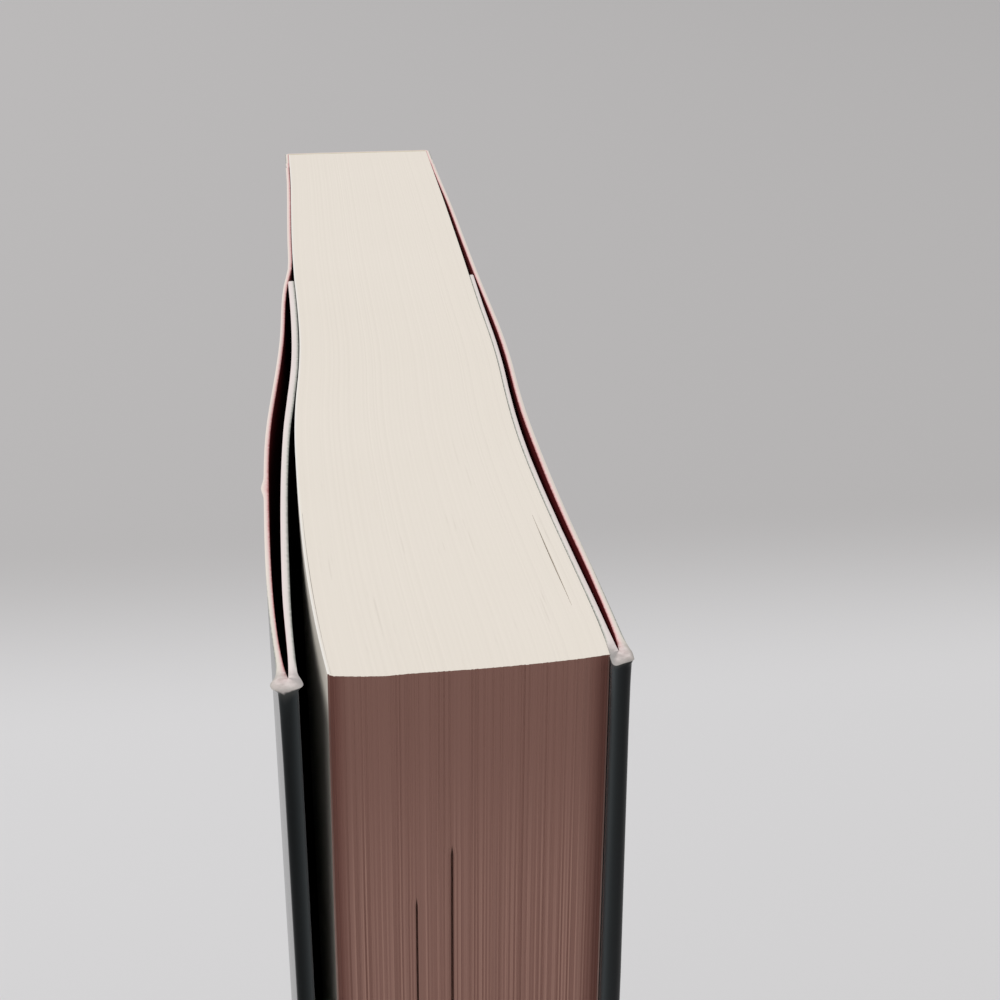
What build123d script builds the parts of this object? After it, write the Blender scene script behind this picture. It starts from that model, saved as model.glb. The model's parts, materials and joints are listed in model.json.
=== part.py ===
from build123d import *
import os

os.makedirs("parts", exist_ok=True)

# Driving sizes of the book, in millimetres
page_width = 140.0
page_height = 210.0
block_thickness = 19.0
card_thickness = 0.45
glue_thickness = 0.5

# Scored hinge lines beside the spine, and the fold of the card round the spine's edges
hinge_strip = 6.5
score_gap = 0.2
cover_clearance = 0.05
spine_fold_radius = 0.3

# The leaves sway towards the front cover, and fan out a little at the fore-edge
front_sway = 1.25
front_sway_slope = 0.085
front_sway_rest = 0.15
back_sway = 1.0
back_sway_slope = 0.01
back_sway_rest = 0.3
fore_edge_bulge = 0.5
leaf_clearance = 0.15

# Folds where the flaps turn in: the card thickens into a bead along each crease
crease_thickness = 0.55
bead_length = 8.0
fold_corner = 0.5
flap_stop = 49.5
front_slit = 0.18
front_fold_slope = 0.085
front_fold_overhang = 1.2
back_slit = 0.25
back_fold_slope = 0.03
back_fold_start = 0.9
back_fold_overhang = 1.5

# The front cover springs open in a long bow and closes behind its flap, which leans back on to the leaves
front_flap_reach = 1.84
front_flap_slope = 0.05
flap_crest_reach = 2.2
flap_lean_reach = 1.58
flap_fall_reach = 0.75
flap_fall_slope = 0.05
flap_settle_reach = 0.34
flap_settle_slope = 0.012
bow_reach = 3.95
bow_fall_reach = 2.15
bow_fall_slope = 0.05

# The back cover lies close, with a shallow hollow and swell, and its flap follows the leaves
back_hollow_reach = 0.55
back_swell_reach = 1.15
landing_margin = 2.5

# Gaps between leaves that open on the fore-edge: across, below the head, length
gap_mouth = 0.25
gap_depth = 12.0
leaf_gaps = [(-1.3, 14.5, 80.0), (-3.6, 18.5, 55.0)]

# Places worked out from the sizes above
half_thickness = block_thickness / 2
fore_edge_y = -page_width / 2
spine_y = page_width / 2
glue_y = spine_y + glue_thickness
hinge_depth = page_width - hinge_strip
panel_end = hinge_depth - score_gap / 2
panel_landing = hinge_depth - landing_margin
strip_end_y = fore_edge_y + hinge_depth + score_gap / 2
flap_width = hinge_depth - flap_stop
bead_slope = 1.5 * (crease_thickness - card_thickness) / bead_length
closed_reach = cover_clearance + card_thickness
front_fold_reach = front_flap_reach + 2 * crease_thickness + front_slit
back_fold_reach = leaf_clearance + 2 * crease_thickness + back_slit
leaf_slope = (front_sway_slope + back_sway_slope) / 2
front_side = -1
back_side = 1

# Depths of the curves' turns, as shares of the flaps' width
flap_crest = 0.155 * flap_width
bow_crest = 0.337 * flap_width
sway_crest = 0.45 * flap_width
flap_lean = 0.5 * flap_width
back_hollow = 0.506 * flap_width
flap_fall = 0.68 * flap_width
sway_rest = 0.8 * flap_width
bow_fall = 0.82 * flap_width
flap_settle = 0.835 * flap_width
sway_end = 1.3 * flap_width
bow_close = 1.31 * flap_width

# Knots of a curve in plan: depth behind the fore-edge, reach outside the block's side, slope
front_leaves = [
    (0, 0, front_sway_slope),
    (sway_crest, front_sway, 0),
    (sway_rest, front_sway_rest, 0),
    (sway_end, 0, 0),
]
back_leaves = [
    (0, 0, -back_sway_slope),
    (sway_crest, -back_sway, 0),
    (sway_rest, -back_sway_rest, 0),
    (sway_end, 0, 0),
]
front_panel = [
    (0, front_fold_reach, front_fold_slope),
    (bow_crest, bow_reach, 0),
    (bow_fall, bow_fall_reach, -bow_fall_slope),
    (bow_close, closed_reach, 0),
]
front_flap = [
    (0, front_flap_reach, front_flap_slope),
    (flap_crest, flap_crest_reach, 0),
    (flap_lean, flap_lean_reach, -flap_fall_slope),
    (flap_fall, flap_fall_reach, -flap_fall_slope),
    (flap_settle, flap_settle_reach, -flap_settle_slope),
    (flap_width, leaf_clearance + 0.65 * front_sway_rest, 0),
]
back_panel = [
    (back_fold_start, back_fold_reach, -back_fold_slope),
    (back_hollow, back_hollow_reach, 0),
    (sway_rest, back_swell_reach, 0),
    (panel_landing, closed_reach, 0),
]
back_flap = [
    (back_fold_start, leaf_clearance, -back_sway_slope),
    (sway_crest, leaf_clearance - back_sway, 0),
    (sway_rest, leaf_clearance - back_sway_rest, 0),
    (flap_width, leaf_clearance - 0.6 * back_sway_rest, 0),
]


def plan_point(depth, reach, side):
    return (side * (half_thickness + reach), fore_edge_y + depth)


def draw_curve(knots, side):
    for (depth, reach, slope), (next_depth, next_reach, next_slope) in zip(knots, knots[1:]):
        start = plan_point(depth, reach, side)
        end = plan_point(next_depth, next_reach, side)
        if reach == next_reach and slope == next_slope == 0:
            Line(start, end)
        else:
            third = (next_depth - depth) / 3
            leaving = plan_point(depth + third, reach + third * slope, side)
            arriving = plan_point(next_depth - third, next_reach - third * next_slope, side)
            Bezier(start, leaving, arriving, end)


def far_face(knots, inward):
    # The other face of the card, one thickness away and thicker at the crease
    depth, reach, slope = knots[0]
    crease = (depth, reach + inward * crease_thickness, slope - inward * bead_slope)
    return [crease] + [(d, r + inward * card_thickness, s) for d, r, s in knots[1:]]


def folded_card(side, panel, flap, overhang):
    # Plan of the cover panel, its fore-edge fold and its flap as one folded sheet
    start = panel[0][0]
    panel_outside = panel + [(panel_end, closed_reach, 0)]
    panel_inside = far_face(panel_outside, -1)
    flap_outside = far_face(flap, 1)
    with BuildSketch() as profile:
        with BuildLine():
            draw_curve(panel_outside, side)
            FilletPolyline(
                plan_point(start, panel[0][1], side),
                plan_point(start - overhang, panel[0][1], side),
                plan_point(start - overhang, flap[0][1], side),
                plan_point(start, flap[0][1], side),
                radius=fold_corner,
            )
            draw_curve(flap, side)
            Line(plan_point(*flap[-1][:2], side), plan_point(*flap_outside[-1][:2], side))
            draw_curve(flap_outside, side)
            Line(plan_point(*flap_outside[0][:2], side), plan_point(*panel_inside[0][:2], side))
            draw_curve(panel_inside, side)
            Line(plan_point(*panel_inside[-1][:2], side), plan_point(*panel_outside[-1][:2], side))
        make_face()
    return profile.sketch


# All the leaves together, swaying sideways, with a slightly bulged fore-edge
with BuildPart() as text_block:
    with BuildSketch():
        with BuildLine():
            draw_curve(front_leaves + [(page_width, 0, 0)], front_side)
            Line(plan_point(page_width, 0, front_side), plan_point(page_width, 0, back_side))
            draw_curve(back_leaves + [(page_width, 0, 0)], back_side)
            ThreePointArc(
                plan_point(0, 0, front_side),
                (0, fore_edge_y - fore_edge_bulge),
                plan_point(0, 0, back_side),
            )
        make_face()
    extrude(amount=page_height)
    for across, below_head, length in leaf_gaps:
        with BuildSketch(Plane.XY.offset(page_height - below_head - length)):
            with BuildLine():
                Polyline(
                    (across - gap_mouth / 2, fore_edge_y - 2 * fore_edge_bulge),
                    (across - gap_depth * leaf_slope, fore_edge_y + gap_depth),
                    (across + gap_mouth / 2, fore_edge_y - 2 * fore_edge_bulge),
                    close=True,
                )
            make_face()
        extrude(amount=length, mode=Mode.SUBTRACT)
text_block.part.label = "text_block"

# Set glue between the leaves' backs and the spine panel
with BuildPart() as spine_glue:
    with BuildSketch():
        with Locations((0, spine_y + glue_thickness / 2)):
            Rectangle(block_thickness, glue_thickness)
    extrude(amount=page_height)
    fillet(spine_glue.edges().filter_by(Axis.Z).group_by(Axis.Y)[-1], radius=spine_fold_radius)
spine_glue.part.label = "spine_glue"

# Spine panel of the cover card, folded round both edges on to the outer leaves
with BuildPart() as spine_wrap:
    with BuildSketch():
        with BuildLine():
            inner_x = half_thickness
            outer_x = half_thickness + card_thickness
            FilletPolyline(
                (-inner_x, strip_end_y),
                (-inner_x, glue_y),
                (inner_x, glue_y),
                (inner_x, strip_end_y),
                radius=spine_fold_radius,
            )
            FilletPolyline(
                (-outer_x, strip_end_y),
                (-outer_x, glue_y + card_thickness),
                (outer_x, glue_y + card_thickness),
                (outer_x, strip_end_y),
                radius=spine_fold_radius + card_thickness,
            )
            Line((-inner_x, strip_end_y), (-outer_x, strip_end_y))
            Line((inner_x, strip_end_y), (outer_x, strip_end_y))
        make_face()
    extrude(amount=page_height)
spine_wrap.part.label = "spine_wrap"

# Front cover with its flap, hinged on the score line beside the spine
with BuildPart() as front_cover:
    add(folded_card(front_side, front_panel, front_flap, front_fold_overhang))
    extrude(amount=page_height)
front_cover.part.label = "front_cover"

# Back cover with its flap, hinged on the score line beside the spine
with BuildPart() as back_cover:
    add(folded_card(back_side, back_panel, back_flap, back_fold_overhang))
    extrude(amount=page_height)
back_cover.part.label = "back_cover"

export_step(text_block.part, "parts/text_block.step")
export_step(spine_glue.part, "parts/spine_glue.step")
export_step(spine_wrap.part, "parts/spine_wrap.step")
export_step(front_cover.part, "parts/front_cover.step")
export_step(back_cover.part, "parts/back_cover.step")
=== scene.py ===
import bpy
import json
import math
import numpy as np
from mathutils import Euler, Matrix, Vector


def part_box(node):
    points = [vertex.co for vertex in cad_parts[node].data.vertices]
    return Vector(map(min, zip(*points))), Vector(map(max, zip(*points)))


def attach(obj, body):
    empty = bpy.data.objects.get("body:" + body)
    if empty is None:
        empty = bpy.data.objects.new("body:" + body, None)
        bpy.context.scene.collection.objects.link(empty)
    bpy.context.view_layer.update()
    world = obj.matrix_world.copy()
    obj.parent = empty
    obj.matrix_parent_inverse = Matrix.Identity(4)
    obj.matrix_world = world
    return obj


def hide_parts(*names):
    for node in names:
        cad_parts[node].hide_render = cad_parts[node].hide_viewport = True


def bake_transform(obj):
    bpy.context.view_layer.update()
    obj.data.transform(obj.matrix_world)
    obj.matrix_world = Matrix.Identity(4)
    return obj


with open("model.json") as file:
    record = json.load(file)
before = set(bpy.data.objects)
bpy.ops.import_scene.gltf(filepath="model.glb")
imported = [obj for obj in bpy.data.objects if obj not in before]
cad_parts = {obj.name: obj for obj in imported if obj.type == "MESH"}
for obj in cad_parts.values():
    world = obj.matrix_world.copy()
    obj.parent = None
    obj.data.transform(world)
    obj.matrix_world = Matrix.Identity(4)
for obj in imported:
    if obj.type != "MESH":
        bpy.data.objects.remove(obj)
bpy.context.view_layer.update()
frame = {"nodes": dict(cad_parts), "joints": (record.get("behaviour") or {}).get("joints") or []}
print("frame loaded:", ", ".join(sorted(frame["nodes"])))

mm = 0.001  # lengths are in millimetres, and in metres in the finishes, the studio and the view

book = {
    "blockSide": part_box("spine_glue")[1].x / mm,  # half the leaves' thickness
    "spineY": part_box("spine_glue")[0].y / mm,
    "glueY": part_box("spine_glue")[1].y / mm,
    "headZ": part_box("text_block")[1].z / mm,
    "card": (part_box("spine_wrap")[1].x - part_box("spine_glue")[1].x) / mm,
    "scoreY": frame["joints"][0]["pos_m"][1] / mm,  # the covers' hinge line
}
book["foreY"] = -book["spineY"]
book["pageWidth"] = book["spineY"] - book["foreY"]
book["score"] = book["scoreY"] - book["foreY"]
frontSide, backSide = -1, 1


# plan curves and lattice helpers

def easedReach(knots, depth):  # reach outside the block's side at a depth behind the fore-edge
    for (d0, r0, s0), (d1, r1, s1) in zip(knots, knots[1:]):
        if depth <= d1:
            break
    span = d1 - d0
    t = min((depth - d0) / span, 1.0)
    ease = t * t * (3 - 2 * t)
    bend = span * (s0 * t * (1 - t) ** 2 - s1 * t * t * (1 - t))
    return r0 + (r1 - r0) * ease + bend


def smoothStep(low, high, value):
    t = min(max((value - low) / (high - low), 0.0), 1.0)
    return t * t * (3 - 2 * t)


def selectOnly(obj):
    bpy.ops.object.select_all(action="DESELECT")
    obj.select_set(True)
    bpy.context.view_layer.objects.active = obj


def latticeSlab(name, columns, rows, layers):  # a closed slab whose points sit on whole numbers
    bpy.ops.object.select_all(action="DESELECT")
    bpy.ops.mesh.primitive_grid_add(x_subdivisions=columns, y_subdivisions=rows, size=2)
    obj = bpy.context.object
    obj.name = obj.data.name = name
    bpy.ops.object.mode_set(mode="EDIT")
    bpy.ops.mesh.select_all(action="SELECT")
    bpy.ops.transform.resize(value=(columns / 2, rows / 2, 1))
    bpy.ops.transform.translate(value=(columns / 2, rows / 2, 0))
    for layer in range(layers):
        bpy.ops.mesh.extrude_region_move(TRANSFORM_OT_translate={"value": (0, 0, 1)})
    bpy.ops.object.mode_set(mode="OBJECT")
    points = np.zeros(len(obj.data.vertices) * 3, np.float32)
    obj.data.vertices.foreach_get("co", points)
    return obj, np.rint(points.reshape(-1, 3)).astype(int)


def placePoints(obj, points):
    obj.data.vertices.foreach_set("co", (np.asarray(points) * mm).astype(np.float32).ravel())
    obj.data.update()


def storeOnPoints(obj, name, values):
    store = obj.data.attributes.new(name, "FLOAT", "POINT")
    store.data.foreach_set("value", np.asarray(values, np.float32))


def enclosedVolume(mesh):  # negative where the faces point inwards
    mesh.calc_loop_triangles()
    points = np.zeros(len(mesh.vertices) * 3, np.float32)
    mesh.vertices.foreach_get("co", points)
    corners = np.zeros(len(mesh.loop_triangles) * 3, np.int32)
    mesh.loop_triangles.foreach_get("vertices", corners)
    a, b, c = points.reshape(-1, 3).astype(float)[corners.reshape(-1, 3)].transpose(1, 0, 2)
    return np.sum(a * np.cross(b, c)) / 6


def finishNormals(obj, angle):
    selectOnly(obj)
    bpy.ops.object.mode_set(mode="EDIT")
    bpy.ops.mesh.select_all(action="SELECT")
    bpy.ops.mesh.normals_make_consistent(inside=False)
    bpy.ops.object.mode_set(mode="OBJECT")
    inward = enclosedVolume(obj.data) < 0  # a thin folded sheet can come out turned over
    bpy.ops.object.mode_set(mode="EDIT")
    if inward:
        bpy.ops.mesh.flip_normals()
    bpy.ops.mesh.select_all(action="DESELECT")
    bpy.ops.object.mode_set(mode="OBJECT")
    bpy.ops.object.shade_smooth_by_angle(angle=math.radians(angle))


# shader wiring

def tint(red, green, blue):  # a screen colour as linear light
    def channel(v):
        v /= 255
        return v / 12.92 if v <= 0.04045 else ((v + 0.055) / 1.055) ** 2.4
    return (channel(red), channel(green), channel(blue), 1.0)


class Wire:
    def __init__(self, tree, socket=None):
        self.tree = tree
        self.socket = socket

    def node(self, kind, settings=None, sockets=None, out=0):
        made = self.tree.nodes.new(kind)
        for key, value in (settings or {}).items():
            if key == "stops":
                ramp = made.color_ramp.elements
                while len(ramp) < len(value):
                    ramp.new(1.0)
                for stop, (place, colour) in zip(ramp, value):
                    stop.position = place
                    stop.color = colour
            else:
                setattr(made, key, value)
        for key, value in (sockets or {}).items():
            if isinstance(value, Wire):
                self.tree.links.new(value.socket, made.inputs[key])
            else:
                made.inputs[key].default_value = value
        return Wire(self.tree, made.outputs[out])

    def math(self, operation, first, second):
        return self.node("ShaderNodeMath", {"operation": operation}, {0: first, 1: second})

    def __add__(self, other):
        return self.math("ADD", self, other)

    __radd__ = __add__

    def __sub__(self, other):
        return self.math("SUBTRACT", self, other)

    def __rsub__(self, other):
        return self.math("SUBTRACT", other, self)

    def __mul__(self, other):
        return self.math("MULTIPLY", self, other)

    __rmul__ = __mul__

    def __truediv__(self, other):
        return self.math("DIVIDE", self, other)

    def above(self, low, high):  # 0 below low, 1 above high, smooth between
        settings = {"interpolation_type": "SMOOTHSTEP"}
        sockets = {"Value": self, "From Min": low, "From Max": high}
        return self.node("ShaderNodeMapRange", settings, sockets)


def mixColour(wire, factor, first, second):
    return wire.node("ShaderNodeMix", {"data_type": "RGBA"}, {0: factor, 6: first, 7: second}, 2)


def newFinish(name, look):
    material = bpy.data.materials.new(name)
    material.use_nodes = True
    wire = Wire(material.node_tree)
    shader = material.node_tree.nodes["Principled BSDF"]
    shader.inputs["Roughness"].default_value = look["roughness"]
    shader.inputs["Specular IOR Level"].default_value = look["specular"]
    coords = wire.node("ShaderNodeTexCoord", out="Object")
    return material, wire, shader, coords


def axisOf(wire, coords, axis):
    return wire.node("ShaderNodeSeparateXYZ", None, {"Vector": coords}, axis)


def noiseOf(wire, vector, scale, detail=2.0, rough=0.5):
    sockets = {"Vector": vector, "Scale": scale, "Detail": detail, "Roughness": rough}
    return wire.node("ShaderNodeTexNoise", {"noise_dimensions": "3D"}, sockets, "Fac")


def attributeOf(wire, name):
    return wire.node("ShaderNodeAttribute", {"attribute_name": name}, out="Fac")


def bumpOf(wire, height, strength, distance):
    sockets = {"Height": height, "Strength": strength, "Distance": distance}
    return wire.node("ShaderNodeBump", None, sockets)


def feed(shader, wire, name):
    wire.tree.links.new(wire.socket, shader.inputs[name])


# the leaves: one block, each leaf a column with its own small shift

leaves = {
    "count": 160,
    "steps": 56,  # points along each leaf from fore-edge to spine
    "frontSway": [(0, -0.1, 0.1), (37.76, 1.25, 0), (49, 0.95, -0.05), (57, 0.5, -0.045), (65.6, 0.24, -0.01),
                  (77, 0.26, 0.012), (86, 0.36, 0.008), (96, 0.38, -0.004), (115, 0.15, -0.014), (128, 0, 0),
                  (140, 0, 0)],  # depth, reach, slope
    "lowFore": 0.37,  # the first leaves stand this much further out from leanHeight down
    "lowDepth": 37.76,
    "backSway": [(0, -0.09, -0.025), (3, -0.13, 0.01), (14, 0.286, 0.046), (21, 0.6, 0.04), (37.76, 1.03, 0),
                 (48, 0.82, -0.036), (55.6, 0.5, -0.036), (63, 0.33, -0.01), (72, 0.31, -0.002),
                 (84, 0.2, -0.01), (100, 0.08, -0.005), (120, 0, 0), (140, 0, 0)],
    "leanHeight": 26.0,
    "foreSkew": [(0, -0.15), (0.12, -0.3), (0.2, -0.3), (0.28, -0.1), (0.4, 0), (0.75, 0.17), (0.9, 0.25),
                 (1, 0.38)],  # share of the thickness, how far back
    "bulge": 0.5,
    "crackShare": 0.04,  # of a leaf's thickness, kept free at each of its faces
    "foreShift": 0.014,
    "headShift": 0.0008,
    "drawnBack": (0.2, 0.09, 0.04),  # the first leaves draw back from the fore-edge
    "rows": [0, 0.5, 30, 70, 115.5, 116.5, 136.5, 137.5, 165, 180, 190.85, 191.65, 195.1, 195.9, 203, 208,
             209.5],
    "foreGaps": [(69, 115.5, 195.9, 0.19), (48, 136.5, 191.65, 0.15)],  # leaf, from, to, mouth
    "foreGapDepth": 0.6,
    "headGaps": [(149, 6.0, 24.0, 0.1), (2, 0.0, 26.0, 0.016)],  # leaf, from, to, mouth
    "headGapDepth": 4.0,
    "giveDepth": 14.0,  # how far back the leaves beside a gap give way
    "spread": 4.0,  # leaves on each side that give way
    "smoothAngle": 30,
    "seed": 11,
}


def gapPush(leaf, gapLeaf, mouth, p):
    away = leaf - gapLeaf + 0.5
    return math.copysign(mouth / 2 * math.exp(-(abs(away) - 0.5) / p["spread"]), away)


def buildLeaves(p):
    count = p["count"]
    thick = 2 * book["blockSide"] / count
    heights = p["rows"] + [book["headZ"]]
    top = len(heights) - 1
    obj, grid = latticeSlab("leaf_block", 2 * count - 1, top, p["steps"])
    draw = np.random.RandomState(p["seed"])
    foreShift = draw.normal(0, p["foreShift"], count)
    headShift = -np.abs(draw.normal(0, p["headShift"], count))
    foreShift[:len(p["drawnBack"])] += p["drawnBack"]
    points = np.zeros(grid.shape)
    for n, (column, row, step) in enumerate(grid):
        leaf, face = divmod(column, 2)
        across = (leaf + (1 - p["crackShare"] if face else p["crackShare"])) * thick - book["blockSide"]
        depth = step / p["steps"] * book["pageWidth"]
        share = leaf / (count - 1)
        if step == 0:
            depth = foreShift[leaf] - p["bulge"] * (1 - (across / book["blockSide"]) ** 2)
            depth += np.interp(share, *zip(*p["foreSkew"]))
        lean = min((book["headZ"] - heights[row]) / p["leanHeight"], 1) * p["lowFore"]
        front = easedReach(p["frontSway"], depth) + lean * (1 - smoothStep(0, p["lowDepth"], depth))
        sway = front * (1 - share) + easedReach(p["backSway"], depth) * share
        z = heights[row] + (headShift[leaf] if row == top else 0)
        for gapLeaf, low, high, mouth in p["foreGaps"]:
            if low < heights[row] < high and depth < p["giveDepth"]:
                across += gapPush(leaf, gapLeaf, mouth, p) * (1 - max(depth, 0) / p["giveDepth"])
        for gapLeaf, near, far, mouth in p["headGaps"]:
            if near < depth < far and row == top:
                swell = math.sin(math.pi * (depth - near) / (far - near)) ** 2
                across += gapPush(leaf, gapLeaf, mouth, p) * swell
        points[n] = (across - sway, book["foreY"] + depth, z)
    placePoints(obj, points)
    storeOnPoints(obj, "leaf", grid[:, 0] // 2)
    paintLeaves(obj, grid, top)
    openLeafGaps(obj, grid, heights, p)
    finishNormals(obj, p["smoothAngle"])
    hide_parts("text_block")
    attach(obj, "block")
    print("leaves:", count, "in", len(obj.data.polygons), "faces")


def paintLeaves(obj, grid, top):
    for finish in (pageFinish(pageLook), headFinish(headLook), foreFinish(foreLook)):
        obj.data.materials.append(finish)
    for face in obj.data.polygons:
        corners = grid[list(face.vertices)]
        if (corners[:, 2] == 0).all():
            face.material_index = 2
        elif (corners[:, 1] == 0).all() or (corners[:, 1] == top).all():
            face.material_index = 1


def openLeafGaps(obj, grid, heights, p):  # the crack between two leaves is pushed in where it gapes
    def chosen(face, gap, onFore):
        leaf, low, high = gap[:3]
        corners = grid[list(face.vertices)]
        if set(corners[:, 0]) != {2 * leaf - 1, 2 * leaf}:
            return False
        if onFore:
            zs = [heights[r] for r in corners[:, 1]]
            return (corners[:, 2] == 0).all() and min(zs) >= low and max(zs) <= high
        depths = corners[:, 2] / p["steps"] * book["pageWidth"]
        atHead = (corners[:, 1] == len(heights) - 1).all()
        return atHead and depths.min() >= low and depths.max() <= high

    pushes = [(gap, True, (0, p["foreGapDepth"] * mm, 0)) for gap in p["foreGaps"]]
    pushes += [(gap, False, (0, 0, -p["headGapDepth"] * mm)) for gap in p["headGaps"]]
    picked = [([f.index for f in obj.data.polygons if chosen(f, gap, onFore)], move)
              for gap, onFore, move in pushes]
    selectOnly(obj)
    bpy.ops.object.mode_set(mode="EDIT")
    bpy.ops.mesh.select_mode(type="FACE")
    bpy.ops.mesh.select_all(action="DESELECT")
    bpy.ops.object.mode_set(mode="OBJECT")
    for faces, move in picked:
        for index in faces:
            obj.data.polygons[index].select = True
        bpy.ops.object.mode_set(mode="EDIT")
        bpy.ops.mesh.extrude_region_move(TRANSFORM_OT_translate={"value": move})
        bpy.ops.mesh.select_all(action="DESELECT")
        bpy.ops.object.mode_set(mode="OBJECT")


def leafTone(wire, away=0):  # each leaf's own value, or that of a leaf so many away from it
    return wire.node("ShaderNodeTexWhiteNoise", {"noise_dimensions": "1D"},
                     {"W": attributeOf(wire, "leaf") + (away + 0.5)}, "Value")


pageLook = {
    "deep": tint(228, 220, 208),
    "pale": tint(234, 227, 216),
    "cloud": (60.0, 3.0),  # scale in waves to the metre, detail
    "fibre": (2600.0, 2.0),
    "bump": (0.25, 0.00003),  # strength, distance
    "roughness": 0.85,
    "specular": 0.25,
}


def pageFinish(p):
    material, wire, shader, coords = newFinish("creamPage", p)
    cloud = noiseOf(wire, coords, *p["cloud"])
    fibre = noiseOf(wire, coords, *p["fibre"])
    feed(shader, mixColour(wire, cloud, p["deep"], p["pale"]), "Base Color")
    feed(shader, bumpOf(wire, fibre, *p["bump"]), "Normal")
    return material


headLook = {
    "deep": tint(228, 220, 209),
    "pale": tint(232, 224, 214),
    "cloud": (45.0, 2.0),
    "leafTint": tint(220, 211, 199),
    "leafShare": 0.08,
    "acrossScale": 0.6,  # the streaks' scale from leaf to leaf
    "alongScale": 70.0,
    "streak": (1.0, 3.0, 0.6),
    "dash": (0.62, 0.74),  # the streaks' highest parts show as faint dashes
    "dashEnd": (-0.055, -0.02),  # they fade out from the fore-edge towards the spine
    "dashTint": tint(190, 181, 170),
    "dashShare": 0.22,
    # painted highlight: the first leaves' ends at the head are painted whiter, for the light that catches the
    # block's edge
    "firstLeaf": (0.3, 1.3),
    "firstHighlightTint": tint(236, 232, 226),
    "leafBump": 0.3,
    "bump": (0.03, 0.00002),
    "roughness": 0.85,
    "specular": 0.2,
}


def headFinish(p):
    material, wire, shader, coords = newFinish("creamLeafEnds", p)
    leaf = attributeOf(wire, "leaf")
    y = axisOf(wire, coords, "Y")
    along = wire.node("ShaderNodeCombineXYZ", None, {"X": leaf * p["acrossScale"], "Y": y * p["alongScale"]})
    streak = noiseOf(wire, along, *p["streak"])
    dash = streak.above(*p["dash"]) * (1 - y.above(*p["dashEnd"]))
    base = mixColour(wire, noiseOf(wire, coords, *p["cloud"]), p["deep"], p["pale"])
    base = mixColour(wire, leafTone(wire) * p["leafShare"], base, p["leafTint"])
    base = mixColour(wire, dash * p["dashShare"], base, p["dashTint"])
    # painted highlight on the first leaves' ends at the head
    base = mixColour(wire, 1 - leaf.above(*p["firstLeaf"]), base, p["firstHighlightTint"])
    feed(shader, base, "Base Color")
    feed(shader, bumpOf(wire, streak + leafTone(wire) * p["leafBump"], *p["bump"]), "Normal")
    return material


foreLook = {
    "stops": [(0.12, tint(133, 94, 83)), (0.5, tint(153, 113, 102)), (0.88, tint(181, 139, 126))],
    "middle": 0.45,  # place on the ramp, without streaks
    "lower": (0.0, 0.022),  # painted light: it is painted darker at the head and lighter this far below it, for how the light falls on the fore-edge
    "lowerLightShare": 0.16,
    "streaky": (0.006, 0.025),  # the streaks come up between these distances below the head
    "leastStreaky": 0.1,
    "fineAcross": 1.37,  # the streaks' scales from leaf to leaf and along the leaf
    "fineAlong": 14.0,
    "fine": (1.0, 2.0, 0.6),
    "fineShare": 0.4,
    "broadAcross": 0.33,
    "broadAlong": 9.0,
    "broad": (1.0, 2.0),
    "broadShare": 0.3,
    "neighbours": 0.4,  # how far the leaves beside a leaf are taken off its own value
    "contrastMean": 0.1,
    "contrastShare": 0.57,
    "marginFront": (1.0, 12.0),  # painted shade: the fore-edge is painted darker over these leaves from the front, where the first leaves' edges fall away from the light
    "marginBack": (1.0, 15.0),  # and over these from the back, where the back cover's fold shades it
    "marginShadeTint": tint(122, 77, 68),
    "marginShadeShare": 0.8,
    "outerFront": (0.2, 1.0),  # the outermost leaves' edges are paler
    "outerBack": (0.2, 0.8),
    "outerTint": tint(224, 196, 186),
    "outerLower": (0.004, 0.03),
    "outerShares": (0.15, 0.3),  # at the head, and what is added below
    "bump": (0.2, 0.00004),
    "roughness": 0.75,
    "specular": 0.25,
}


def foreFinish(p):
    material, wire, shader, coords = newFinish("stainedForeEdge", p)
    leaf = attributeOf(wire, "leaf")
    fromBack = leaves["count"] - 1 - leaf
    z = axisOf(wire, coords, "Z")
    below = book["headZ"] * mm - z
    streaky = p["leastStreaky"] + below.above(*p["streaky"]) * (1 - p["leastStreaky"])
    fineAt = {"X": leaf * p["fineAcross"], "Z": z * p["fineAlong"]}
    broadAt = {"X": leaf * p["broadAcross"], "Z": z * p["broadAlong"]}
    fine = noiseOf(wire, wire.node("ShaderNodeCombineXYZ", None, fineAt), *p["fine"])
    broad = noiseOf(wire, wire.node("ShaderNodeCombineXYZ", None, broadAt), *p["broad"])
    beside = (leafTone(wire, -1) + leafTone(wire, 1)) * p["neighbours"]
    contrast = leafTone(wire) - beside - p["contrastMean"]
    swing = (fine - 0.5) * p["fineShare"] + (broad - 0.5) * p["broadShare"] + contrast * p["contrastShare"]
    # painted light: the tone is raised further below the head, so the fore-edge is darker at the head
    tone = p["middle"] + below.above(*p["lower"]) * p["lowerLightShare"] + swing * streaky
    base = wire.node("ShaderNodeValToRGB", {"stops": p["stops"]}, {"Fac": tone})
    # painted shade: the outermost leaves of the fore-edge are painted darker beside the covers
    inner = leaf.above(*p["marginFront"]) * fromBack.above(*p["marginBack"])
    base = mixColour(wire, (1 - inner) * p["marginShadeShare"], base, p["marginShadeTint"])
    outer = 1 - leaf.above(*p["outerFront"]) * fromBack.above(*p["outerBack"])
    atHead, more = p["outerShares"]
    base = mixColour(wire, outer * (atHead + below.above(*p["outerLower"]) * more), base, p["outerTint"])
    feed(shader, base, "Base Color")
    feed(shader, bumpOf(wire, tone, *p["bump"]), "Normal")
    return material


# the cover card: one sheet for each cover, from beside the spine round the fore-edge to the flap's edge

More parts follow.
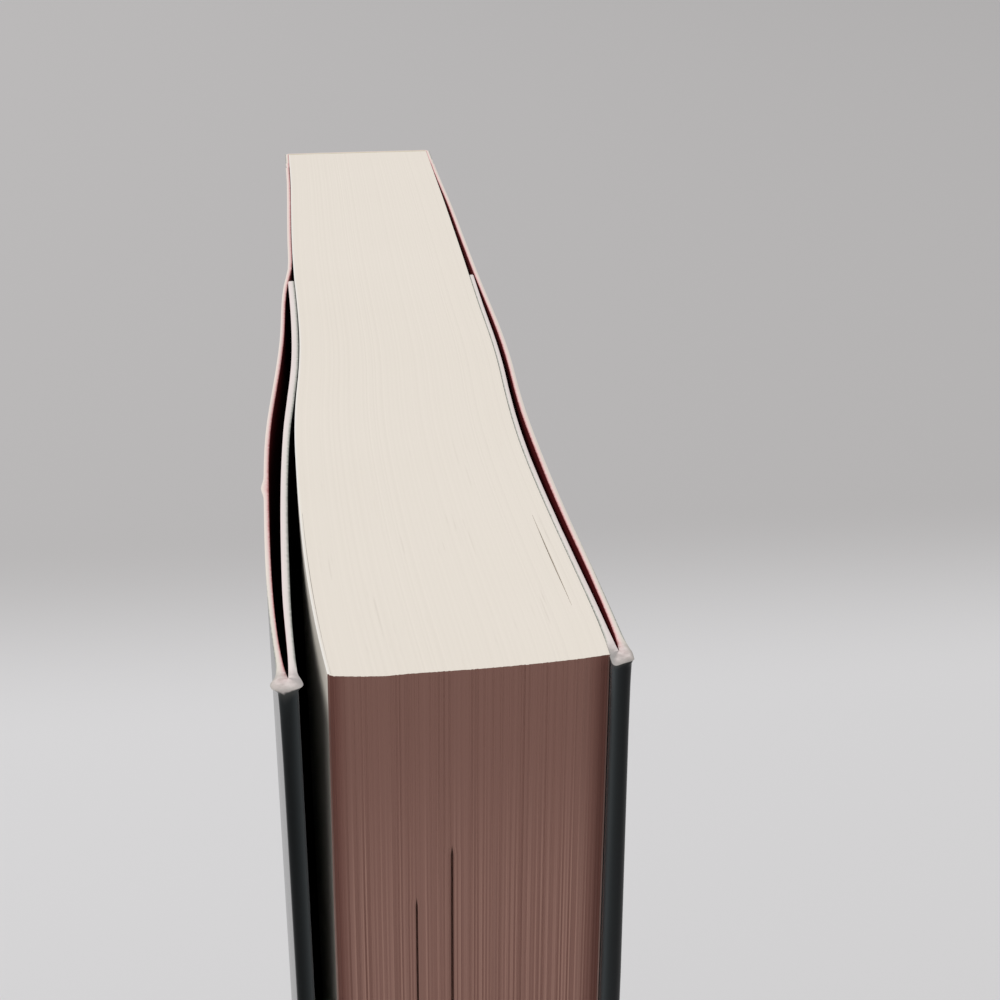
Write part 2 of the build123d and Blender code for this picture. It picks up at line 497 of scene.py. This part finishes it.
card = {
    "clearance": 0.05,
    "slitTip": 0.02,  # what is left of the slit at the crease
    "beadLength": 1.9,
    "thinEnd": (80, 100),  # between these depths the panel gets its full thickness again
    "foldCorner": 0.5,
    "foldShares": (0.33, 0.67, 1.0),  # stations on the fold's straight part, as shares of it
    "foldTurn": 15,  # degrees from station to station round the fold's corners
    "seam": 2.0,  # the sheet meets the spine's piece this far behind the score
    "bendHalf": 0.7,  # the sheet bends this far to each side of the score
    "bendStep": 0.1,
    "bendSteps": 7,
    "bendEase": (1.3, 0.9),  # further stations on each side of the bend
    "stepHalf": 0.5,  # the panel steps out by the clearance over this half length
    "grooveDepth": 0.09,
    "grooveWidth": 0.3,
    "panelRuns": [(131, 118, 11), (115, 12, 36)],  # stations: from, to, how many
    "nearFold": (10, 13),  # stations up to the fold: from, how many
    "flapRun": (12, 37),  # stations to the flap's edge: from, how many
    "nickRun": (2.6, 11),  # stations round the nick: half lengths, how many
    "layers": 4,
    "crown": 0.05,  # the cut edge's rounding
    "rows": [0, 0.12, 0.25, 0.5, 0.9, 2.4, 6, 30, 70, 105, 140, 183, 195, 204],
    "headRows": [2.4, 1.6, 1.0, 0.75, 0.58, 0.44, 0.32, 0.23, 0.17, 0.12, 0],  # below the head
    "crushHeight": 0.6,
    "tailCrush": 0.35,
    "crushFrom": 0.6,  # behind the crease
    "crushFull": -0.7,
    "lumps": (0.12, 0.9),  # the crushed ends' lumpiness, and its turn from station to station
    "sideLimit": 1.2,
    "squaredOut": 0.7,  # how far the crushed corners are squared, towards the panel
    "squaredIn": 0.3,  # and towards the flap
    "squareFloor": 0.5,
    "sagPower": 1.5,
    "softHeight": 2.0,
    "nickHeight": 0.4,
    "leanHeight": 27.0,
    "leanDepth": 15.0,
    "ragged": 0.012,
    "edgeWear": 0.05,
    "wearReach": 1.2,
    "rubHeight": 2.0,
    "flapFade": 0.28,  # the flap's cut edge shows less of the lining's red
    "noseFade": 0.3,  # and the fold's end less of the outside's slate
    "blushFrom": 3.0,  # the cut edge turns pinker behind this depth
    "blushFull": 28.0,
    "smoothAngle": 50,
    "seed": 5,
}
cardMarks = ("through", "worn", "rub", "turned", "crushed")  # kept on the points for the finishes

frontCover = {
    "side": frontSide,
    "body": "front_cover",
    "panel": [(0, 3.12, 0.085), (27, 3.94, 0), (42, 3.7, -0.048), (57, 2.68, -0.066), (65.6, 2.18, -0.045),
              (77.6, 1.82, -0.042), (84, 1.42, -0.09), (88, 1.03, -0.06), (91, 0.92, -0.02),
              (98, 0.87, -0.006), (108, 0.75, -0.016), (118, 0.59, -0.014), (128, 0.5, 0), (140, 0.5, 0)],
    "flap": [(0, 1.84, 0.05), (13, 2.13, 0), (24, 2.09, -0.011), (35.5, 1.85, -0.032), (42, 1.58, -0.055),
             (49, 1.08, -0.065), (57, 0.58, -0.05), (65.6, 0.33, -0.012), (77, 0.31, 0.008),
             (84, 0.39, 0.01)],
    "thin": 0.05,  # the panel is pressed this much thinner
    "swell": (0.12, 2, 14),  # the flap's added thickness, from a depth to a depth
    "farSwell": (0.1, 38, 50),
    "overhang": 1.2,
    "slant": 0.0,  # how far the fold's nose is turned
    "lean": 0.0,
    "outFlare": 0.4,
    "inFlare": 0.3,
    "noseFlare": 0.1,
    "sag": 0.14,
    "softFlare": 0.12,
    "worn": [(0, 0.15), (0.2, 0.24), (0.3, 0.36), (0.4, 0.42), (0.5, 0.34), (0.6, 0.27), (0.75, 0.18),
             (1, 0.1)],  # way round the fold, how far down the slate is worn off
    "rub": (0.8, 0.2),  # way round the fold, half width of the rubbed strip
    "headRub": 0.35,
    "crushed": 0.75,
    "blush": 0.45,
    "nick": (30.2, 1.2, 0.22),  # depth, half length, how far it is turned out
}

backCover = {
    "side": backSide,
    "body": "back_cover",
    "panel": [(0.9, 1.5, -0.022), (7.6, 1.34, -0.027), (14, 1.14, -0.037), (21, 0.85, -0.035),
              (29, 0.63, -0.018), (42.48, 0.5, 0), (49, 0.64, 0.032), (57, 0.94, 0.03), (64, 1.05, 0.004),
              (70, 1.03, -0.01), (80, 0.9, -0.012), (90, 0.82, -0.004), (112, 0.76, -0.006),
              (124, 0.58, -0.014), (131, 0.5, 0), (140, 0.5, 0)],
    "flap": [(0.9, 0.13, 0.01), (3, 0.15, -0.01), (14, -0.266, -0.046), (21, -0.58, -0.04), (37.76, -1.01, 0),
             (48, -0.8, 0.036), (55.6, -0.48, 0.036), (63, -0.31, 0.01), (72, -0.29, 0.002),
             (84, -0.18, 0.01)],
    "thin": 0.0,
    "swell": (0, 2, 14),
    "farSwell": (0, 38, 50),
    "overhang": 1.5,
    "slant": 0.375,
    "lean": 0.2,
    "outFlare": 0.1,
    "inFlare": 0.05,
    "noseFlare": 0.05,
    "sag": 0.12,
    "softFlare": 0.1,
    "worn": [(0, 0.05), (0.3, 0.06), (0.5, 0.09), (0.7, 0.14), (0.85, 0.16), (1, 0.11)],
    "rub": (0.8, 0.2),
    "headRub": 0.0,
    "crushed": 0.9,
    "blush": 0.28,
    "nick": None,
}


def cardThickness(cover, depth, onFlap):  # swells at the crease, where the slit closes to a point
    start, panelReach = cover["panel"][0][:2]
    crease = (panelReach - cover["flap"][0][1] - card["slitTip"]) / 2
    plain = book["card"]
    if onFlap:
        swells = (cover["swell"], cover["farSwell"])
        plain += sum(more * smoothStep(low, high, depth) for more, low, high in swells)
    else:
        plain -= cover["thin"] * (1 - smoothStep(*card["thinEnd"], depth))
    return plain + (crease - plain) * math.exp((start - depth) / card["beadLength"])


def foldLine(cover):  # outer line of the fold from panel to flap, nose towards the reader
    corner = card["foldCorner"]
    start, panelReach = cover["panel"][0][:2]
    flapReach = cover["flap"][0][1]
    straight = cover["overhang"] - corner
    line = [(start - straight * t, panelReach) for t in card["foldShares"]]
    for turn in range(card["foldTurn"], 91, card["foldTurn"]):
        a = math.radians(turn)
        line.append((start - straight - corner * math.sin(a), panelReach - corner * (1 - math.cos(a))))
    other = [(d, panelReach + flapReach - r) for d, r in reversed(line)]
    return line + [(start - cover["overhang"], (panelReach + flapReach) / 2)] + other


def bendDepths():  # depths of the stations beside the score, from the seam forwards
    score, steps = book["score"], card["bendSteps"]
    behind = [score + away for away in (card["seam"],) + card["bendEase"]]
    bend = [score + card["bendStep"] * n for n in range(steps, -steps - 1, -1)]
    return behind + bend + [score - away for away in reversed(card["bendEase"])]


def cardStations(cover):  # (outer depth, outer reach, inner depth, inner reach, way round the fold)
    score, start = book["score"], cover["panel"][0][0]
    foldFrom, foldCount = card["nearFold"]
    nearFold = [start + (foldFrom - start) * u * u for u in np.linspace(0, 1, foldCount)]
    stations = []
    for depth in bendDepths():
        step = smoothStep(score - card["stepHalf"], score + card["stepHalf"], depth) * card["clearance"]
        groove = card["grooveDepth"] * math.exp(-((depth - score) / card["grooveWidth"]) ** 2)
        reach = book["card"] + card["clearance"] - step
        stations.append((depth, reach - groove, depth, reach - book["card"], 0))
    along = np.concatenate([np.linspace(*run) for run in card["panelRuns"]] + [nearFold[::-1]])
    if cover["nick"]:
        place, length = cover["nick"][:2]
        reachOut, count = card["nickRun"]
        along = np.append(along, place + length * np.linspace(-reachOut, reachOut, count))
    for depth in np.sort(along)[::-1]:
        reach = easedReach(cover["panel"], depth)
        stations.append((depth, reach, depth, reach - cardThickness(cover, depth, False), 0))
    outer = foldLine(cover)
    for n, (depth, reach) in enumerate(outer):
        t = (n + 1) / (len(outer) + 1)
        slit = (cover["panel"][0][1] + cover["flap"][0][1]) / 2 + card["slitTip"] * (0.5 - t)
        stations.append((depth, reach, start, slit, t))
    flapFrom, flapCount = card["flapRun"]
    for depth in np.concatenate([nearFold, np.linspace(flapFrom, cover["flap"][-1][0], flapCount)]):
        reach = easedReach(cover["flap"], depth)
        stations.append((depth, reach, depth, reach + cardThickness(cover, depth, True), 1))
    return stations


def cardHeights():
    return card["rows"] + [book["headZ"] - h for h in card["headRows"]]


def cutEdge(row, top, t, ragged):  # how far the rounded, ragged cut moves a point up or down
    if row not in (0, top):
        return 0
    edge = card["crown"] * (2 * t - 1) ** 2 + ragged
    return edge if row == 0 else -edge


def buildCover(name, p):
    stations, heights = cardStations(p), cardHeights()
    top = len(heights) - 1
    obj, grid = latticeSlab(name, len(stations) - 1, top, card["layers"])
    draw = np.random.RandomState(card["seed"] + p["side"])
    ragged = np.abs(draw.normal(0, card["ragged"], (len(stations), card["layers"] + 1)))
    start, panelReach = p["panel"][0][:2]
    flapReach = p["flap"][0][1]
    middle, half = (panelReach + flapReach) / 2, (panelReach - flapReach) / 2
    points, marks = np.zeros(grid.shape), np.zeros((len(grid), len(cardMarks)))
    for n, (station, row, layer) in enumerate(grid):
        outD, outR, inD, inR, way = stations[station]
        t = layer / card["layers"]
        depth, reach, z = outD + (inD - outD) * t, outR + (inR - outR) * t, heights[row]
        near = math.exp(-(max(outD - start, 0) / card["wearReach"]) ** 2)
        below = book["headZ"] - z
        atHead = max(0, 1 - below / card["crushHeight"])
        atEnds = atHead + card["tailCrush"] * max(0, 1 - z / card["crushHeight"])
        crush = atEnds * smoothStep(card["crushFrom"], card["crushFull"], depth - start)
        lump = 1 + card["lumps"][0] * math.sin(station * card["lumps"][1])
        side = max(-card["sideLimit"], min(card["sideLimit"], (reach - middle) / half))
        nose = max(0, start - depth) / p["overhang"]
        if nose:  # the fold's nose is turned, and its round corners are squashed square
            squared = card["squaredOut"] if side > 0 else card["squaredIn"]
            corner = 1 / max(abs(side), nose, card["squareFloor"]) - 1
            square = 1 + corner * squared * atEnds * (1 - t)
            side, nose = side * square, nose * square
            reach = middle + side * half
            depth = start - nose * (p["overhang"] - p["slant"] * side + p["noseFlare"] * crush)
        reach += side * lump * (p["outFlare"] if side > 0 else p["inFlare"]) * crush
        lean = p["lean"] * min(below / card["leanHeight"], 1) * math.exp(-(outD / card["leanDepth"]) ** 2)
        reach += lean * min(max((side + 1) / 2, 0), 1)
        reach += p["softFlare"] * max(side, 0) * near * math.exp(-below / card["softHeight"])
        z -= p["sag"] * atHead * nose ** card["sagPower"] * lump
        z += cutEdge(row, top, t, ragged[station, layer])
        if p["nick"] and way == 0 and outD > start:
            place, length, lift = p["nick"]
            fade = -((outD - place) / length) ** 2 - (below / card["nickHeight"]) ** 2
            reach += lift * math.exp(fade) * (1 - t)
        points[n] = (p["side"] * (book["blockSide"] + reach), book["foreY"] + depth, z)
        worn = np.interp(way, *zip(*p["worn"])) * near ** 2 + card["edgeWear"]
        strip = math.exp(-((way - p["rub"][0]) / p["rub"][1]) ** 2)
        rub = max(strip, p["headRub"] * math.exp(-below / card["rubHeight"])) * near
        blush = p["blush"] * smoothStep(card["blushFrom"], card["blushFull"], outD) if way == 0 else 0
        through = t * (1 - card["flapFade"] * way) + card["noseFade"] * near * (1 - t) + blush * (1 - t)
        marks[n] = (through, worn, rub, way, p["crushed"] * near ** 2)
    placePoints(obj, points)
    for mark, values in zip(cardMarks, marks.T):
        storeOnPoints(obj, mark, values)
    paintCard(obj, grid)
    finishNormals(obj, card["smoothAngle"])
    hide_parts(p["body"])
    hingeX = p["side"] * (book["blockSide"] + book["card"] + card["clearance"]) * mm
    hingeZ = book["headZ"] / 2 * mm
    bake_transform(obj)
    print(name + ":", len(stations), "stations,", len(obj.data.polygons), "faces")


def paintCard(obj, grid):
    for finish in cardFinishes:
        obj.data.materials.append(finish)
    for face in obj.data.polygons:
        layers = grid[list(face.vertices), 2]
        if (layers == 0).all():
            face.material_index = 0
        elif (layers == card["layers"]).all():
            face.material_index = 1
        else:
            face.material_index = 2


spine = {
    "foldInside": 0.3,  # inner radius of the fold round the spine's edges
    "sideSteps": 4,  # stations beside the block, round an edge and to the middle of the spine
    "turns": 8,
    "backSteps": 8,
    "seedStep": 9,  # added to the card's seed
}


def buildSpine(p):
    inside, outside = p["foldInside"], p["foldInside"] + book["card"]
    side, back = book["blockSide"], book["glueY"]
    half = []  # (outer x, outer y, inner x, inner y) from the front seam to the middle of the spine
    for y in np.linspace(book["scoreY"] + card["seam"], back - inside, p["sideSteps"]):
        half.append((-side - book["card"], y, -side, y))
    for turn in np.linspace(0, 90, p["turns"])[1:]:
        c, s = math.cos(math.radians(turn)), math.sin(math.radians(turn))
        cx, cy = -side + inside, back - inside
        half.append((cx - outside * c, cy + outside * s, cx - inside * c, cy + inside * s))
    for x in np.linspace(-side + inside, 0, p["backSteps"])[1:]:
        half.append((x, back + book["card"], x, back))
    stations = half + [(-a, b, -c, d) for a, b, c, d in reversed(half[:-1])]
    heights = cardHeights()
    top = len(heights) - 1
    obj, grid = latticeSlab("spine_card", len(stations) - 1, top, card["layers"])
    draw = np.random.RandomState(card["seed"] + p["seedStep"])
    ragged = np.abs(draw.normal(0, card["ragged"], (len(stations), card["layers"] + 1)))
    points = np.zeros(grid.shape)
    for n, (station, row, layer) in enumerate(grid):
        outX, outY, inX, inY = stations[station]
        t = layer / card["layers"]
        z = heights[row] + cutEdge(row, top, t, ragged[station, layer])
        points[n] = (outX + (inX - outX) * t, outY + (inY - outY) * t, z)
    placePoints(obj, points)
    storeOnPoints(obj, "through", grid[:, 2] / card["layers"])
    storeOnPoints(obj, "worn", np.full(len(grid), card["edgeWear"]))
    for mark in ("rub", "turned", "crushed"):
        storeOnPoints(obj, mark, np.zeros(len(grid)))
    paintCard(obj, grid)
    finishNormals(obj, card["smoothAngle"])
    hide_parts("spine_wrap")
    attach(obj, "block")
    print("spine card:", len(obj.data.polygons), "faces")


slateLook = {
    "deep": tint(22, 24, 25),
    "pale": tint(27, 30, 31),
    "cloud": (38.0, 3.0),
    "grain": (3200.0, 2.0),
    "coarse": (1500.0, 3.0),
    "grainEnds": (0.5, 0.8),
    "grainTint": tint(34, 38, 40),
    "grainShare": 0.3,
    "rubTint": tint(84, 90, 92),
    "rubShare": 0.8,
    "tailWear": 2.0,  # the tail is worn this many times less far
    "scuffReach": 0.3,  # scuffs reach further than the bare card, and fade
    "scuffEnds": (0.1, 1.0),
    "scuffTint": tint(120, 118, 114),
    "scuffShare": 0.3,
    "wornRagged": 1.2,
    "wornEnds": (0.6, 1.25),
    "bareDeep": tint(204, 194, 190),
    "barePale": tint(232, 224, 219),
    "bump": (0.04, 0.00002),
    "roughness": 0.11,
    "cloudRoughness": 0.06,
    "wornRoughness": 0.6,
    "specular": 0.07,
}


def slateFinish(p):
    material, wire, shader, coords = newFinish("slateCover", p)
    z = axisOf(wire, coords, "Z")
    below = wire.math("MINIMUM", book["headZ"] * mm - z, z * p["tailWear"]) / mm
    grain = noiseOf(wire, coords, *p["grain"])
    cloud = noiseOf(wire, coords, *p["cloud"])
    coarse = noiseOf(wire, coords, *p["coarse"])
    base = mixColour(wire, cloud, p["deep"], p["pale"])
    base = mixColour(wire, grain.above(*p["grainEnds"]) * p["grainShare"], base, p["grainTint"])
    base = mixColour(wire, attributeOf(wire, "rub") * p["rubShare"], base, p["rubTint"])
    reached = below / attributeOf(wire, "worn")
    scuff = 1 - (reached * p["scuffReach"]).above(*p["scuffEnds"])
    base = mixColour(wire, scuff * p["scuffShare"], base, p["scuffTint"])
    worn = 1 - (reached + (coarse - 0.5) * p["wornRagged"]).above(*p["wornEnds"])
    base = mixColour(wire, worn, base, mixColour(wire, coarse, p["bareDeep"], p["barePale"]))
    feed(shader, base, "Base Color")
    feed(shader, p["roughness"] + cloud * p["cloudRoughness"] + worn * p["wornRoughness"], "Roughness")
    feed(shader, bumpOf(wire, grain + coarse, *p["bump"]), "Normal")
    return material


redLook = {
    "deep": tint(88, 12, 16),
    "pale": tint(95, 14, 18),
    "cloud": (40.0, 2.0),
    "grain": (2600.0, 2.0),
    "bump": (0.15, 0.00003),
    "roughness": 0.65,
    "specular": 0.25,
}


def redFinish(p):
    material, wire, shader, coords = newFinish("redLining", p)
    cloud = noiseOf(wire, coords, *p["cloud"])
    grain = noiseOf(wire, coords, *p["grain"])
    feed(shader, mixColour(wire, cloud, p["deep"], p["pale"]), "Base Color")
    feed(shader, bumpOf(wire, grain, *p["bump"]), "Normal")
    return material


coreLook = {
    # the cut edge from the slate side to the lining: grey print line, cream core, pink; the last dark red
    # stop is partly the lining's red and partly painted shade where the edge turns down into the slit
    "stops": [(0.0, tint(112, 115, 111)), (0.12, tint(180, 180, 172)), (0.28, tint(224, 217, 207)),
              (0.6, tint(227, 212, 205)), (0.82, tint(230, 193, 190)), (1.0, tint(160, 88, 88))],
    "fibre": (2400.0, 4.0, 0.7),
    "fibreShare": 0.25,
    "flapFrom": (0.08, 0.3),  # the flap's cut edge is a cooler white
    "flapTint": tint(226, 217, 217),
    "flapShare": 0.6,
    "speck": (5200.0, 2.0),
    "speckEnds": (0.55, 0.75),
    "speckTint": tint(232, 228, 224),
    "speckShare": 0.4,
    "lump": (1300.0, 3.0),  # the crushed ends of the folds
    "lumpEnds": (0.35, 0.65),
    "lumpDeep": tint(176, 168, 165),
    "lumpPale": tint(214, 205, 202),
    "rimEnds": (0.28, 0.62),  # painted shade: the crushed ends are painted greyer towards the slate, where they round away from the light
    "rimShadeTint": tint(118, 118, 115),
    "rimShadeShare": 0.7,
    "earStart": (0.6, 0.85),  # painted shade: the crushed end's corner beside the flap is painted greyer, where it turns down out of the light
    "earEnd": (0.9, 1.0),
    "earShadeTint": tint(112, 114, 113),
    "earShadeShare": 0.7,
    "crushedShare": 0.85,
    "bump": (0.4, 0.00006),
    "roughness": 0.9,
    "specular": 0.2,
}


def coreFinish(p):
    material, wire, shader, coords = newFinish("cardCore", p)
    turned = attributeOf(wire, "turned")
    fibre = noiseOf(wire, coords, *p["fibre"])
    depth = attributeOf(wire, "through") + (fibre - 0.5) * p["fibreShare"]
    base = wire.node("ShaderNodeValToRGB", {"stops": p["stops"]}, {"Fac": depth})
    base = mixColour(wire, turned * depth.above(*p["flapFrom"]) * p["flapShare"], base, p["flapTint"])
    speck = noiseOf(wire, coords, *p["speck"]).above(*p["speckEnds"])
    base = mixColour(wire, speck * p["speckShare"], base, p["speckTint"])
    lump = noiseOf(wire, coords, *p["lump"]).above(*p["lumpEnds"])
    ends = mixColour(wire, lump, p["lumpDeep"], p["lumpPale"])
    # painted shade: the crushed ends darken towards the slate side
    ends = mixColour(wire, (1 - depth.above(*p["rimEnds"])) * p["rimShadeShare"], ends, p["rimShadeTint"])
    # painted shade on the crushed end's corner beside the flap
    ear = turned.above(*p["earStart"]) * (1 - turned.above(*p["earEnd"]))
    ends = mixColour(wire, ear * p["earShadeShare"], ends, p["earShadeTint"])
    base = mixColour(wire, attributeOf(wire, "crushed") * p["crushedShare"], base, ends)
    feed(shader, base, "Base Color")
    feed(shader, bumpOf(wire, fibre, *p["bump"]), "Normal")
    return material


glueLook = {
    "deep": tint(206, 196, 170),
    "pale": tint(226, 218, 198),
    "lumps": (420.0, 3.0),
    "bump": (0.4, 0.0001),
    "roughness": 0.4,
    "specular": 0.5,
}


def glueFinish(p):
    material, wire, shader, coords = newFinish("setGlue", p)
    lumps = noiseOf(wire, coords, *p["lumps"])
    feed(shader, mixColour(wire, lumps, p["deep"], p["pale"]), "Base Color")
    feed(shader, bumpOf(wire, lumps, *p["bump"]), "Normal")
    return material


cardFinishes = [slateFinish(slateLook), redFinish(redLook), coreFinish(coreLook)]
buildLeaves(leaves)
buildCover("front_card", frontCover)
buildCover("back_card", backCover)
buildSpine(spine)
glueNode = frame["nodes"]["spine_glue"]
glueNode.data.materials.clear()
glueNode.data.materials.append(glueFinish(glueLook))


# floor, light and camera

floorLook = {
    "near": tint(215, 214, 215),
    "far": tint(184, 182, 182),
    "shade": (0.255, 0.385),  # it darkens between these places behind the book
    "roughness": 0.9,
    "specular": 0.1,
}


def floorFinish(p):
    material, wire, shader, coords = newFinish("paleFloor", p)
    shade = axisOf(wire, coords, "Y").above(*p["shade"])
    feed(shader, mixColour(wire, shade, p["near"], p["far"]), "Base Color")
    return material


studio = {
    "floorSize": 12.0,
    "floorDrop": 0.0002,
    "keyPlace": (-3.2, 1.2, 5.05),
    "keySize": 2.4,
    "keyPower": 248.0,
    "keyAim": (0.0, 0.0, 0.15),
    "skyColour": (1.0, 1.0, 1.0, 1.0),
    "skyLight": 0.45,
}


def buildStudio(p):
    bpy.ops.object.select_all(action="DESELECT")
    bpy.ops.mesh.primitive_plane_add(size=p["floorSize"], location=(0, 0, -p["floorDrop"]))
    floor = bpy.context.object
    floor.name = "studio_floor"
    floor.data.materials.append(floorFinish(floorLook))
    bpy.ops.object.light_add(type="AREA", location=p["keyPlace"])
    lamp = bpy.context.object
    lamp.name = "key_softbox"
    lamp.data.size = p["keySize"]
    lamp.data.energy = p["keyPower"]
    lamp.rotation_euler = (Vector(p["keyAim"]) - Vector(p["keyPlace"])).to_track_quat("-Z", "Y").to_euler()
    world = bpy.data.worlds.new("studio")
    world.use_nodes = True
    sky = world.node_tree.nodes["Background"]
    sky.inputs["Color"].default_value = p["skyColour"]
    sky.inputs["Strength"].default_value = p["skyLight"]
    bpy.context.scene.world = world
    print("studio: floor, softbox and an even sky")


view = {
    "place": (-0.01083, -0.17017, 0.26954),
    "yaw": 7.323,  # degrees, towards the back cover
    "pitch": 25.160,  # degrees, downwards
    "roll": 0.198,
    "lens": 62.96,
    "sensor": 36.0,
    "clipStart": 0.01,
}


def buildCamera(p):
    bpy.ops.object.camera_add(location=p["place"])
    camera = bpy.context.object
    camera.name = "book_camera"
    aim = Euler((math.radians(90 - p["pitch"]), 0, math.radians(-p["yaw"]))).to_matrix()
    camera.rotation_euler = (aim @ Matrix.Rotation(math.radians(p["roll"]), 3, "Z")).to_euler()
    camera.data.lens = p["lens"]
    camera.data.sensor_width = p["sensor"]
    camera.data.clip_start = p["clipStart"]
    bpy.context.scene.camera = camera
    print("camera placed")


buildStudio(studio)
buildCamera(view)
bpy.context.scene.view_settings.view_transform = "Standard"
